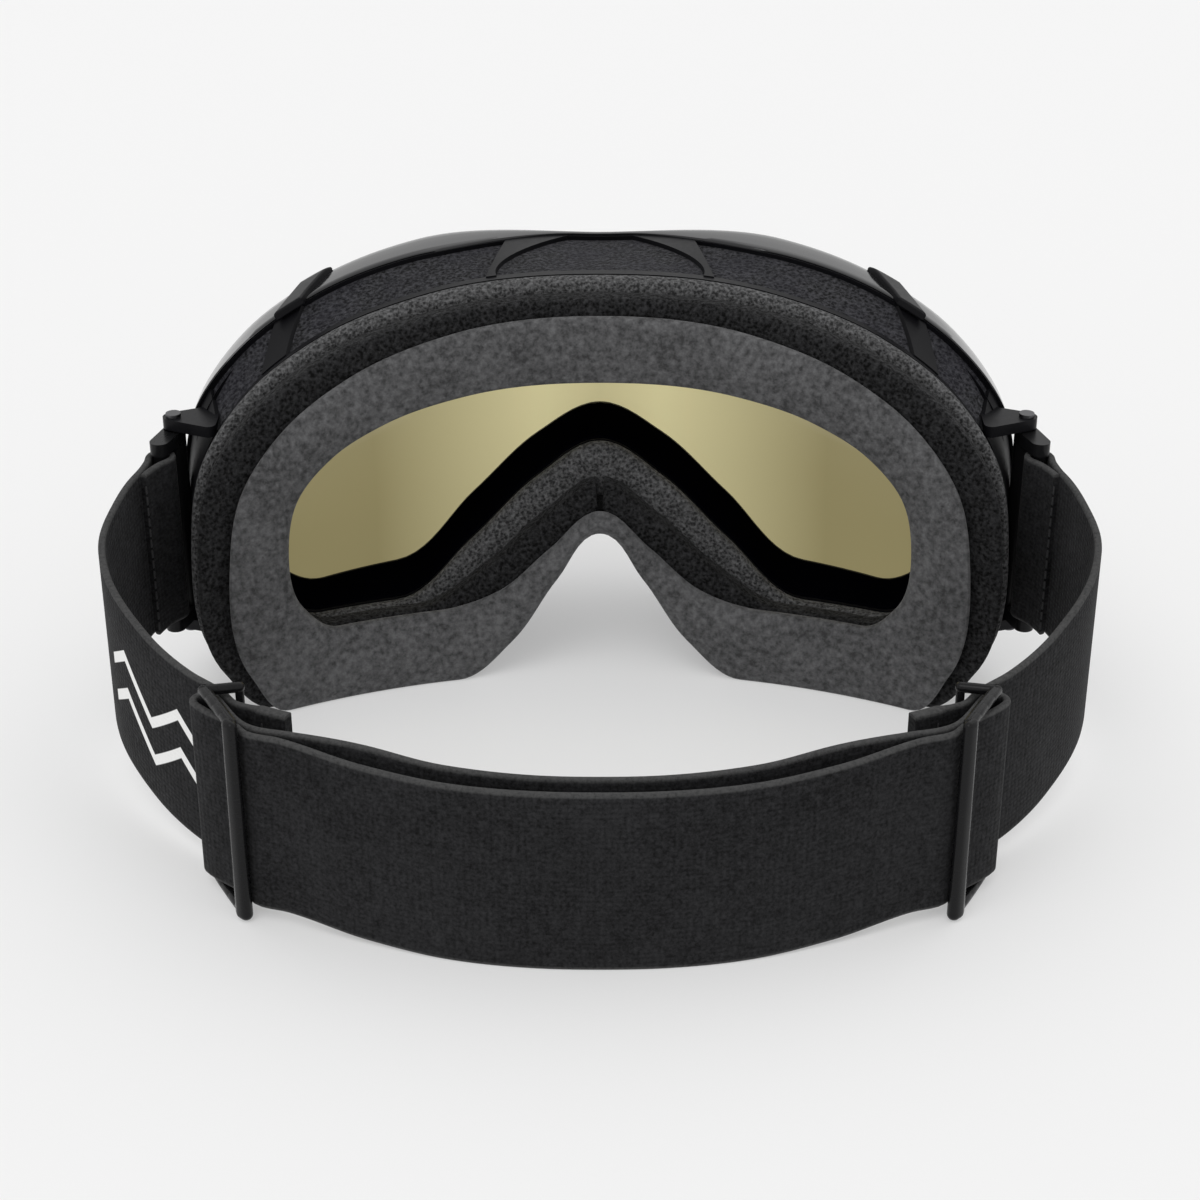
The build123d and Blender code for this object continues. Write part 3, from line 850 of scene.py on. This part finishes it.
# ---- Operators ----
class GOGGLES_OT_lenses(bpy.types.Operator):
    """Outer lens, inner lens and the gasket between them"""

    bl_idname = "goggles.lenses"
    bl_label = "Lenses"

    @staticmethod
    def pane(front, back, rows=22, columns=96):
        line = outline_line(LENS_EDGE)
        half = line.at(SIDE).x

        def place(i, j):
            x = half * sin(pi * (i / columns - 0.5))
            high = line.at(line.where(0, abs(x), 0, SIDE)).y
            low = line.at(line.where(0, abs(x), SIDE, line.end)).y
            if i in (0, columns):
                low = high = line.at(SIDE).y
            depth, up = (front, j / rows) if j <= rows else (back, (2 * rows + 1 - j) / rows)
            point = Vector((x, low + (high - low) * up))
            return Vector((x, lens_y(point, depth), point.y))

        count = 2 * rows + 2
        return lofted(columns, count, lambda i, j: place(i, j % count))

    def execute(self, context):
        colours, sizes = settings(context)
        # Painted reflection: the mirror coat is paler towards the middle.
        outer = tinted_lens_with_painted_light("mirror_lens", colours.mirror, tint(colours.mirror, 1.35), 0.06, 0.75,
                          0.93, 0.08)
        # Painted light: the gold lens is paler in the middle and emits its colour, standing in for
        # light that passes through it.
        inner = tinted_lens_with_painted_light("gold_lens", colours.lens_shaded_side, colours.lens_lit_middle, 0.3, 0.0, 0.97,
                          0.058, 0.62)
        finished(self.pane(0, OUTER_LENS_WALL), "mirror_outer_lens", outer, "outer_lens",
                 "lens_set", ["outer_lens"], crease=50)
        finished(self.pane(INNER_LENS_FRONT, INNER_LENS_BACK), "gold_inner_lens", inner,
                 "inner_lens", "lens_set", ["inner_lens"], crease=50)
        gasket = soft_ring(
            inset(LENS_EDGE, 0.3), inset(LENS_EDGE, 4.9),
            lambda p: lens_y(p, OUTER_LENS_WALL), lambda p: lens_y(p, INNER_LENS_FRONT),
            INNER_LENS_FRONT - OUTER_LENS_WALL, 0.8,
        )
        piece = finished(gasket, "lens_gasket_foam", open_foam("gasket", colours.middle, 0.5, 0.3),
                         "gasket_foam", "lens_set", ["lens_gasket"])
        return {"FINISHED"}


class GOGGLES_OT_rim(bpy.types.Operator):
    """Gloss rim round the lens"""

    bl_idname = "goggles.rim"
    bl_label = "Rim"

    def execute(self, context):
        colours, sizes = settings(context)

        def level(wall, depth=0.0, shift=0.0):
            return inset(RIM_EDGE, wall), lambda p: lens_y(p, depth, shift)

        def skirt(wall, share):
            return inset(RIM_EDGE, wall), lambda p: lens_y(p, 0, rim_back(p) * share)

        def behind_lens(wall):
            return inset(RIM_EDGE, wall), lambda p: min(
                lens_y(p, INNER_LENS_BACK), lens_y(p, 0, 0.9 * rim_back(p))
            )

        profile = (
            level(3.6, 0, -0.6), level(2.2, 0, -0.6), level(1.2, 0, -0.4), level(0.5, 0, 0.2),
            skirt(0.15, 0.12), skirt(0.0, 0.3), skirt(0.0, 0.55), skirt(0.0, 0.8),
            skirt(0.05, 0.96), skirt(0.35, 0.995), skirt(0.8, 1.0), skirt(1.6, 1.0),
            skirt(2.0, 0.95), behind_lens(2.0), behind_lens(4.2), level(4.2, 0, 0.6),
            level(4.2, 0, -0.2), level(4.0, 0, -0.5),
        )
        gloss = hard_plastic("gloss_rim", colours.rim, 0.14, 0.35, 0.4)
        finished(profile_ring(profile), "gloss_front_rim", gloss, "rim_gloss", "frame",
                 ["front_rim"], crease=50)
        return {"FINISHED"}


class GOGGLES_OT_shell(bpy.types.Operator):
    """Frame: plate, flange, brow struts, side walls, nose arch, temple clips and hinge ears"""

    bl_idname = "goggles.shell"
    bl_label = "Frame"

    def execute(self, context):
        colours, sizes = settings(context)
        satin = hard_plastic("satin_frame", colours.shell, 0.36, 0.0, 0.14)
        edge = sizes.hard_edge / MM
        plate = profile_ring((
            (FRAME_EDGE, lambda p: lens_y(p, PLATE_FRONT)),
            (FRAME_EDGE, lambda p: lens_y(p, PLATE_BACK)),
            (APERTURE, lambda p: lens_y(p, PLATE_BACK)),
            (APERTURE, lambda p: lens_y(p, PLATE_FRONT)),
        ))
        flange = profile_ring((
            (FLANGE_EDGE, lambda p: face_y(p, -FLANGE_WALL)),
            (FLANGE_EDGE, lambda p: face_y(p, 0)),
            (BASE_HOLE, lambda p: face_y(p, 0)),
            (BASE_HOLE, lambda p: face_y(p, -FLANGE_WALL)),
        ))
        band = profile_ring([
            (inset(FRAME_EDGE, wall), behind_rim(more))
            for wall, more in ((-1.7, -1.2), (-1.7, 0.5), (1.9, 0.5), (1.9, -1.2))
        ])
        brow = outline_line(FRAME_EDGE)

        def over(x):
            return brow.where(0, x, 0, SIDE)

        def under(x):
            return brow.where(0, x, SIDE, brow.end)

        outer = (inset(FRAME_EDGE, -1.8), inset(FLANGE_EDGE, -0.3))
        inner = (inset(FRAME_EDGE, 2.2), inset(FLANGE_EDGE, 1.9))
        walls = (
            [[over(x) for x in row] for row in ((6, 20.8, 24.5), (21.5, 24.3, 27))],
            [[over(x) for x in row] for row in ((66, 69.3, 71.8), (72, 74.6, 77))],
            [[over(x) for x in (86.5, 86.5, 86.5)], [under(x) for x in (77, 77, 77)]],
            [[under(x) for x in row] for row in ((54, 54, 54), (48, 47.5, 47))],
        )
        parts = [plate, flange, band]
        for name, side in SIDES:
            for edges in walls:
                span = abs(edges[1][0] - edges[0][0])
                parts.append(wall_patch(outer, inner, edges, side, 8 if span < 1 else 40))
        for name, side in SIDES:
            for low, root in ((EAR_LOW_Z, HINGE.x - 9.5), (EAR_HIGH_Z, HINGE.x - 7.5)):
                circles = [(x, HINGE.y, HINGE_RADIUS) for x in (HINGE.x, root)]
                circles += [(root - 1, HINGE.y + step, 1.6) for step in (-4.5, 4.5)]
                ear = prism(circles, low, low + EAR_HEIGHT)
                parts.append(ear if side > 0 else mirrored(ear))
        finished(joined(parts), "satin_frame_shell", satin, "frame_black", "frame", ["chassis"],
                 bevel=edge)
        matt = hard_plastic("matt_arch", colours.arch, 0.8, 0.0, 0.0)
        finished(self.nose_arch(), "nose_arch_wall", matt, "frame_black", "frame", bevel=edge)
        for name, side in SIDES:
            finished(self.clip(), f"temple_clip_{name}", satin, "frame_black", "frame",
                     bevel=edge, side=side)
        return {"FINISHED"}

    @staticmethod
    def nose_arch(rows=10):
        """The smooth inner wall along the cheeks and over the nose."""
        lines = [
            [outline_line(o) for o in pair]
            for pair in ((APERTURE, inset(BASE_HOLE, 0.6)),
                         (inset(APERTURE, -2.2), inset(BASE_HOLE, -1.6)))
        ]
        half = lines[0][0].stations(3.0, start=SIDE + 0.6)
        columns = [(s, 1) for s in half] + [(s, -1) for s in reversed(half[:-1])]

        def place(i, j):
            s, side = columns[i]
            layer, v = (0, j / rows) if j <= rows else (1, (2 * rows + 1 - j) / rows)
            point = lines[layer][0].at(s).lerp(lines[layer][1].at(s), v)
            front, back = lens_y(point, PLATE_FRONT + 0.3), face_y(point, -0.6)
            return Vector((side * point.x, front + (back - front) * v, point.y))

        count = 2 * rows + 2
        return lofted(len(columns) - 1, count, lambda i, j: place(i, j % count))

    @staticmethod
    def clip(along=12, across=4):
        """The temple strut's tongue, which goes over the rim to its front edge."""
        line = outline_line(RIM_EDGE)
        start, end = line.where(0, 70.3, 0, SIDE), line.where(0, 65.4, 0, SIDE)

        def place(i, j):
            v = i / along
            top, u = (1, j / across) if j <= across else (0, (2 * across + 1 - j) / across)
            s = start + (end - start) * v + (u - 0.5) * CLIP_WIDTH * (1 - 0.2 * v)
            lift = top * 1.3 - (1 - top) * 0.8 - 0.8 * max(0, v - 0.85) / 0.15 * top
            point = line.at(s)
            way = line.way(s)
            out = Vector((-way.y, way.x))
            out = out if out.y > 0 else -out
            raised = point + out * lift
            y = lens_y(point, 0, (rim_back(point) + 1.8) * (1 - v))
            return Vector((raised.x, y, raised.y))

        count = 2 * across + 2
        return lofted(along, count, lambda i, j: place(i, j % count))


class GOGGLES_OT_vents(bpy.types.Operator):
    """Foam behind the windows of the brow, temples and cheeks"""

    bl_idname = "goggles.vents"
    bl_label = "Vent foam"

    def execute(self, context):
        colours, sizes = settings(context)
        foam = open_foam("vent_foam", colours.vent, 0.9, 0.85, 0.3)
        brow = outline_line(FRAME_EDGE)
        outer = (inset(FRAME_EDGE, -0.7), inset(FLANGE_EDGE, 0.7))
        inner = (inset(FRAME_EDGE, 4.3), inset(FLANGE_EDGE, 4.0))

        def over(x, side=1):
            return [side * brow.where(0, x, 0, SIDE)] * 3

        def under(x):
            return [brow.where(0, x, SIDE, brow.end)] * 3

        whole = wall_patch(outer, inner, (over(71.8, -1), over(71.8)), 1, 72, start=0.3)
        pieces = [(whole, "brow_vent_foam", "top_vent_foam")]
        for name, side in SIDES:
            pieces.append((wall_patch(outer, inner, (over(72.3), over(87)), side, 12, start=0.3),
                           f"temple_vent_foam_{name}", f"side_vent_foam_{name}"))
            pieces.append((wall_patch(outer, inner, (under(78), under(53)), side, 12, start=0.3),
                           f"cheek_vent_foam_{name}", f"bottom_vent_foam_{name}"))
        for bm, name, node in pieces:
            piece = finished(bm, name, foam, "vent_foam", "frame", [node])
        return {"FINISHED"}


class GOGGLES_OT_face_foam(bpy.types.Operator):
    """Three layers of foam between the frame and the face"""

    bl_idname = "goggles.face_foam"
    bl_label = "Face foam"

    def execute(self, context):
        colours, sizes = settings(context)
        rounding = sizes.foam_rounding / MM
        layers = (
            ("base", "face_foam_base", FLANGE_EDGE, BASE_HOLE, "base_foam",
             open_foam("base_foam", colours.base, 0.8, 0.62), rounding, 0.0, 0.0),
            ("middle", "face_foam_mid", MIDDLE_EDGE, MIDDLE_HOLE, "mid_foam",
             # The middle foam gets painted shade inside its nose slit.
             open_foam("middle_foam", colours.middle, 0.9, 0.9, seam=True), rounding, 0.0,
             SLIT_DEPTH),
            ("fleece", "face_fleece", FLEECE_EDGE, FLEECE_HOLE, "fleece",
             brushed_fleece("fleece", colours.fleece), 0.8 * rounding, sizes.fleece_crown / MM,
             0.0),
        )
        for n, (name, node, outer, inner, slot, finish, radius, crown, seam) in enumerate(layers):
            low, high = FOAM_DEPTHS[n : n + 2]
            bm = soft_ring(
                outer, inner, lambda p: face_y(p, low), lambda p: face_y(p, high), high - low,
                radius, crown, seam, FLEECE_SWELL if crown else FOAM_SWELL,
            )
            piece = finished(bm, f"{name}_face_foam", finish, slot, "frame", [node])
        return {"FINISHED"}


class GOGGLES_OT_outriggers(bpy.types.Operator):
    """Hinged arms that carry the side straps, with their pins"""

    bl_idname = "goggles.outriggers"
    bl_label = "Outriggers"

    def execute(self, context):
        colours, sizes = settings(context)
        satin = hard_plastic("fitting_satin", colours.fitting, 0.3, 0.05, 0.18)
        steel = plain_finish("blackened_steel", colours.steel, 0.35, 1.0)
        top = ARM_HIGH_Z + ARM_HEIGHT
        for name, side in SIDES:
            hinge, bar = (HINGE.x, HINGE.y, HINGE_RADIUS), (BAR.x, BAR.y, BAR_RADIUS + 0.6)
            parts = [prism([hinge], ARM_LOW_Z, top)]
            parts += [prism([hinge, bar], z, z + ARM_HEIGHT) for z in (ARM_LOW_Z, ARM_HIGH_Z)]
            parts.append(prism([(BAR.x, BAR.y, BAR_RADIUS)], ARM_LOW_Z + 1, top - 1))
            finished(joined(parts), f"outrigger_arm_{name}", satin, "frame_black",
                     f"outrigger_{name}", [f"outrigger_{name}"], bevel=0.6, side=side)
            low, high = EAR_LOW_Z - 0.8, EAR_HIGH_Z + EAR_HEIGHT
            pin = joined([
                prism([(HINGE.x, HINGE.y, 1.0)], low + 0.2, high + 0.2),
                prism([(HINGE.x, HINGE.y, 1.7)], low, low + 0.8),
                prism([(HINGE.x, HINGE.y, 1.7)], high, high + 0.8),
            ])
            finished(pin, f"steel_pin_{name}", steel, "pin_steel", "frame",
                     [f"hinge_pin_{name}"], bevel=0.25, side=side)
        return {"FINISHED"}


class GOGGLES_OT_sliders(bpy.types.Operator):
    """Buckles that the strap runs through"""

    bl_idname = "goggles.sliders"
    bl_label = "Sliders"

    def execute(self, context):
        colours, sizes = settings(context)
        satin = hard_plastic("slider_satin", colours.fitting, 0.26, 0.06, 0.18)

        def spot(along, out, z):
            return (*at_slider(along, out), z)

        def chain(points, radius):
            return [capsule(a, b, radius) for a, b in zip(points, points[1:])]

        for name, side in SIDES:
            u, w = FRONT_BAR
            parts = []
            balls = [(spot(u + a, w + b, z), radius - 0.35 * (b > 0.5))
                     for z, radius in ((1.5, 1.4), (SLIDER_TOP_Z - 1.3, 1.15))
                     for a, b in ((-0.75, 0.4), (0.75, 0.4), (0.0, 1.0))]
            parts.append(ball_hull(balls))
            for z, arch in ((1.3, -0.25), (SLIDER_TOP_Z - 1.3, 0.25)):
                points = [spot(u + (LOOP_BAR[0] - u) * t, w * (1 - t), z + arch * 4 * t * (1 - t))
                          for t in (0, 0.25, 0.5, 0.75, 1)]
                for out in (-0.5, 0.5):
                    parts += chain([(x, y + out, height) for x, y, height in points], 1.05)
                parts += chain([spot(*LOOP_BAR, z), spot(*HOLD_BAR, z)], 1.1)
            for (a, b), radius in ((LOOP_BAR, 1.2), (HOLD_BAR, 0.9)):
                parts.append(capsule(spot(a, b, 1.3), spot(a, b, SLIDER_TOP_Z - 1.3), radius))
            finished(joined(parts), f"slider_buckle_{name}", satin, "slider_black",
                     f"slider_{name}", [f"slider_{name}"], side=side)
        return {"FINISHED"}


def web(line, stations, radius, wall=lambda s: STRAP_WALL):
    """Webbing that stands upright along a line in plan. Its UV is in metres along and up."""
    total, lengths = 0.0, [0.0]
    for a, b in zip(stations, stations[1:]):
        total += (line.at(b) - line.at(a)).length
        lengths.append(total)
    rows = len(soft_section(4, 4, 1))
    sections = []
    for s in stations:
        point, way = line.at(s), line.way(s)
        out = Vector((way.y, -way.x))
        low = strap_low(point.y)
        thick = wall(s)
        ring = []
        for across, up in soft_section(thick, STRAP_WIDTH, min(radius, 0.4 * thick)):
            ring.append((point + out * (across - thick / 2), low, up))
        sections.append(ring)

    def place(i, j):
        spot, low, up = sections[i][j % rows]
        return Vector((spot.x, spot.y, low + up))

    def uv(i, j):
        return lengths[i] * MM, sections[i][j % rows][2] * MM

    return lofted(len(stations) - 1, rows, place, uv)


def stitches(line, s, faces, pitch, radius):
    """A row of thread up the strap at s, on the faces at the given offsets."""
    point, way = line.at(s), line.way(s)
    out = Vector((way.y, -way.x))
    low = strap_low(point.y)
    parts = []
    count = int((STRAP_WIDTH - 3) / pitch)
    for offset in faces:
        spot = point + out * offset
        for n in range(count):
            z = low + 1.8 + n * pitch
            parts.append(capsule((*spot, z), (*spot, z + 0.62 * pitch), radius, 6))
    return parts


class GOGGLES_OT_straps(bpy.types.Operator):
    """Rear strap, side straps and their stitching"""

    bl_idname = "goggles.straps"
    bl_label = "Straps"

    def execute(self, context):
        colours, sizes = settings(context)
        plain = knitted_web("webbing", colours.strap, colours.strap_edge)
        printed = knitted_web("printed_webbing", colours.strap, colours.strap_edge, colours.ink)
        thread = plain_finish("thread", tint(colours.strap, 1.6), 0.8)
        radius = sizes.strap_edge / MM
        pitch, gauge = sizes.stitch / MM, sizes.thread / MM

        rear_stations = REAR_PATH.stations(1.8)
        rear_side = SIDE_PATH.stations(1.4, 0.0, SIDE_SPLIT, 4)
        front_side = SIDE_PATH.stations(1.2, SIDE_SPLIT, None, 5)
        seam_station = SEWN_KNOT - 0.05

        def hem(s):
            return STRAP_WALL + HEM_STEP * max(0.0, min(1.0, (HEM_END - s) / 0.25))

        for name, side in SIDES:
            slider, outrigger = f"slider_{name}", f"outrigger_{name}"

            def spot(x, y):
                return Vector((x * side, y, STRAP_WIDTH / 2)) * MM

            swing = spot(103, 11), spot(102, -14)  # two points on the side strap by the outrigger
            pull = spot(*at_slider(50, 0)), spot(*at_slider(12, 0))  # and two by the slider
            bands = (
                (web(REAR_PATH, rear_stations, radius), f"rear_strap_{name}", plain,
                 ("strap_rear",), slider, spot(25, 80), spot(*at_slider(-9, -2)),
                 self.length(REAR_PATH, rear_stations)),
                (web(SIDE_PATH, rear_side, radius, hem), f"side_strap_rear_{name}",
                 printed if side > 0 else plain, (f"strap_side_{name}",), slider, *pull,
                 self.length(SIDE_PATH, rear_side)),
                (web(SIDE_PATH, front_side, radius), f"side_strap_front_{name}", plain,
                 (f"strap_side_{name}",), outrigger, *swing,
                 self.length(SIDE_PATH, front_side)),
            )
            for bm, piece_name, finish, nodes, body, start, end, length in bands:
                piece = finished(bm, piece_name, finish, "strap_web", None, nodes, crease=60,
                                 side=side)
                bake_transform(piece)
                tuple(start)
                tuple(end)
                length * MM
            skin = STRAP_WALL / 2
            rows = (
                stitches(SIDE_PATH, seam_station, (-skin - 0.02, skin + 2 * SEWN_STEP + 0.02),
                         pitch, gauge),
                stitches(SIDE_PATH, 0.85, (skin + 0.57, -skin - 0.57), pitch, gauge),
            )
            for parts, body, (start, end), label in (
                (rows[0], outrigger, swing, "outrigger"), (rows[1], slider, pull, "slider"),
            ):
                piece = finished(joined(parts), f"stitching_{label}_{name}", thread,
                                 "strap_web", side=side)
                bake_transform(piece)
                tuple(start)
                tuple(end)
        return {"FINISHED"}

    @staticmethod
    def length(line, stations):
        return sum((line.at(b) - line.at(a)).length for a, b in zip(stations, stations[1:]))


CAMERA_PLACE = (0, 0.4675, 0.2824)
CAMERA_DIP = 27.76  # degrees below level
CAMERA_LENS = 72.9
SKY_STRENGTH = 0.88
FLOOR_GLOW = 0.34  # keeps the shade inside the strap pale


class GOGGLES_OT_stage(bpy.types.Operator):
    """Pale floor, soft light and the camera"""

    bl_idname = "goggles.stage"
    bl_label = "Stage"

    def execute(self, context):
        colours, sizes = settings(context)
        bm = bmesh.new()
        bmesh.ops.create_grid(bm, x_segments=1, y_segments=1, size=6.0)
        mesh = bpy.data.meshes.new("floor")
        bm.to_mesh(mesh)
        bm.free()
        floor_finish = Finish("floor", Roughness=0.9, Base_Color=(*colours.floor, 1.0),
                              Specular_IOR_Level=0.1, Emission_Color=(1, 1, 1, 1),
                              Emission_Strength=FLOOR_GLOW)
        mesh.materials.append(floor_finish.material)
        floor = bpy.data.objects.new("floor", mesh)
        context.scene.collection.objects.link(floor)

        world = bpy.data.worlds.new("studio")
        context.scene.world = world
        world.use_nodes = True
        sky = world.node_tree.nodes["Background"].inputs
        sky["Color"].default_value = (1, 1, 1, 1)
        sky["Strength"].default_value = SKY_STRENGTH

        for name, turn, power, spread in (
            ("key", (-28, 18, 0), 0.55, 35),
            ("fill", (30, -25, 0), 0.3, 60),
        ):
            lamp = bpy.data.lights.new(name, "SUN")
            lamp.energy = power
            lamp.angle = radians(spread)
            light = bpy.data.objects.new(name, lamp)
            light.rotation_euler = [radians(a) for a in turn]
            context.scene.collection.objects.link(light)

        lens = bpy.data.cameras.new("camera")
        lens.lens = CAMERA_LENS
        lens.sensor_width = 36.0
        lens.clip_start = 0.01
        camera = bpy.data.objects.new("camera", lens)
        camera.location = CAMERA_PLACE
        camera.rotation_euler = (radians(90 - CAMERA_DIP), 0, radians(180))
        context.scene.collection.objects.link(camera)
        context.scene.camera = camera
        context.scene.view_settings.view_transform = "Standard"
        return {"FINISHED"}


OPERATORS = (
    GOGGLES_OT_stage,
    GOGGLES_OT_lenses,
    GOGGLES_OT_rim,
    GOGGLES_OT_shell,
    GOGGLES_OT_vents,
    GOGGLES_OT_face_foam,
    GOGGLES_OT_outriggers,
    GOGGLES_OT_sliders,
    GOGGLES_OT_straps,
)


class GOGGLES_PT_panel(bpy.types.Panel):
    """Sizes, colours and pieces of the goggles"""

    bl_idname = "GOGGLES_PT_panel"
    bl_label = "Ski Goggles"
    bl_space_type = "VIEW_3D"
    bl_region_type = "UI"
    bl_category = "Goggles"

    def draw(self, context):
        for group in settings(context):
            box = self.layout.box()
            for name in type(group).__annotations__:
                box.prop(group, name)
        for operator in OPERATORS:
            self.layout.operator(operator.bl_idname)


CLASSES = (GogglesColours, GogglesSizes, *OPERATORS, GOGGLES_PT_panel)


def register():
    for cls in CLASSES:
        bpy.utils.register_class(cls)
    bpy.types.Scene.goggles_colours = bpy.props.PointerProperty(type=GogglesColours)
    bpy.types.Scene.goggles_sizes = bpy.props.PointerProperty(type=GogglesSizes)


def unregister():
    del bpy.types.Scene.goggles_sizes
    del bpy.types.Scene.goggles_colours
    for cls in reversed(CLASSES):
        bpy.utils.unregister_class(cls)


def main():
    register()
    for operator in OPERATORS:
        group, name = operator.bl_idname.split(".")
        getattr(getattr(bpy.ops, group), name)()


if __name__ == "__main__":
    main()
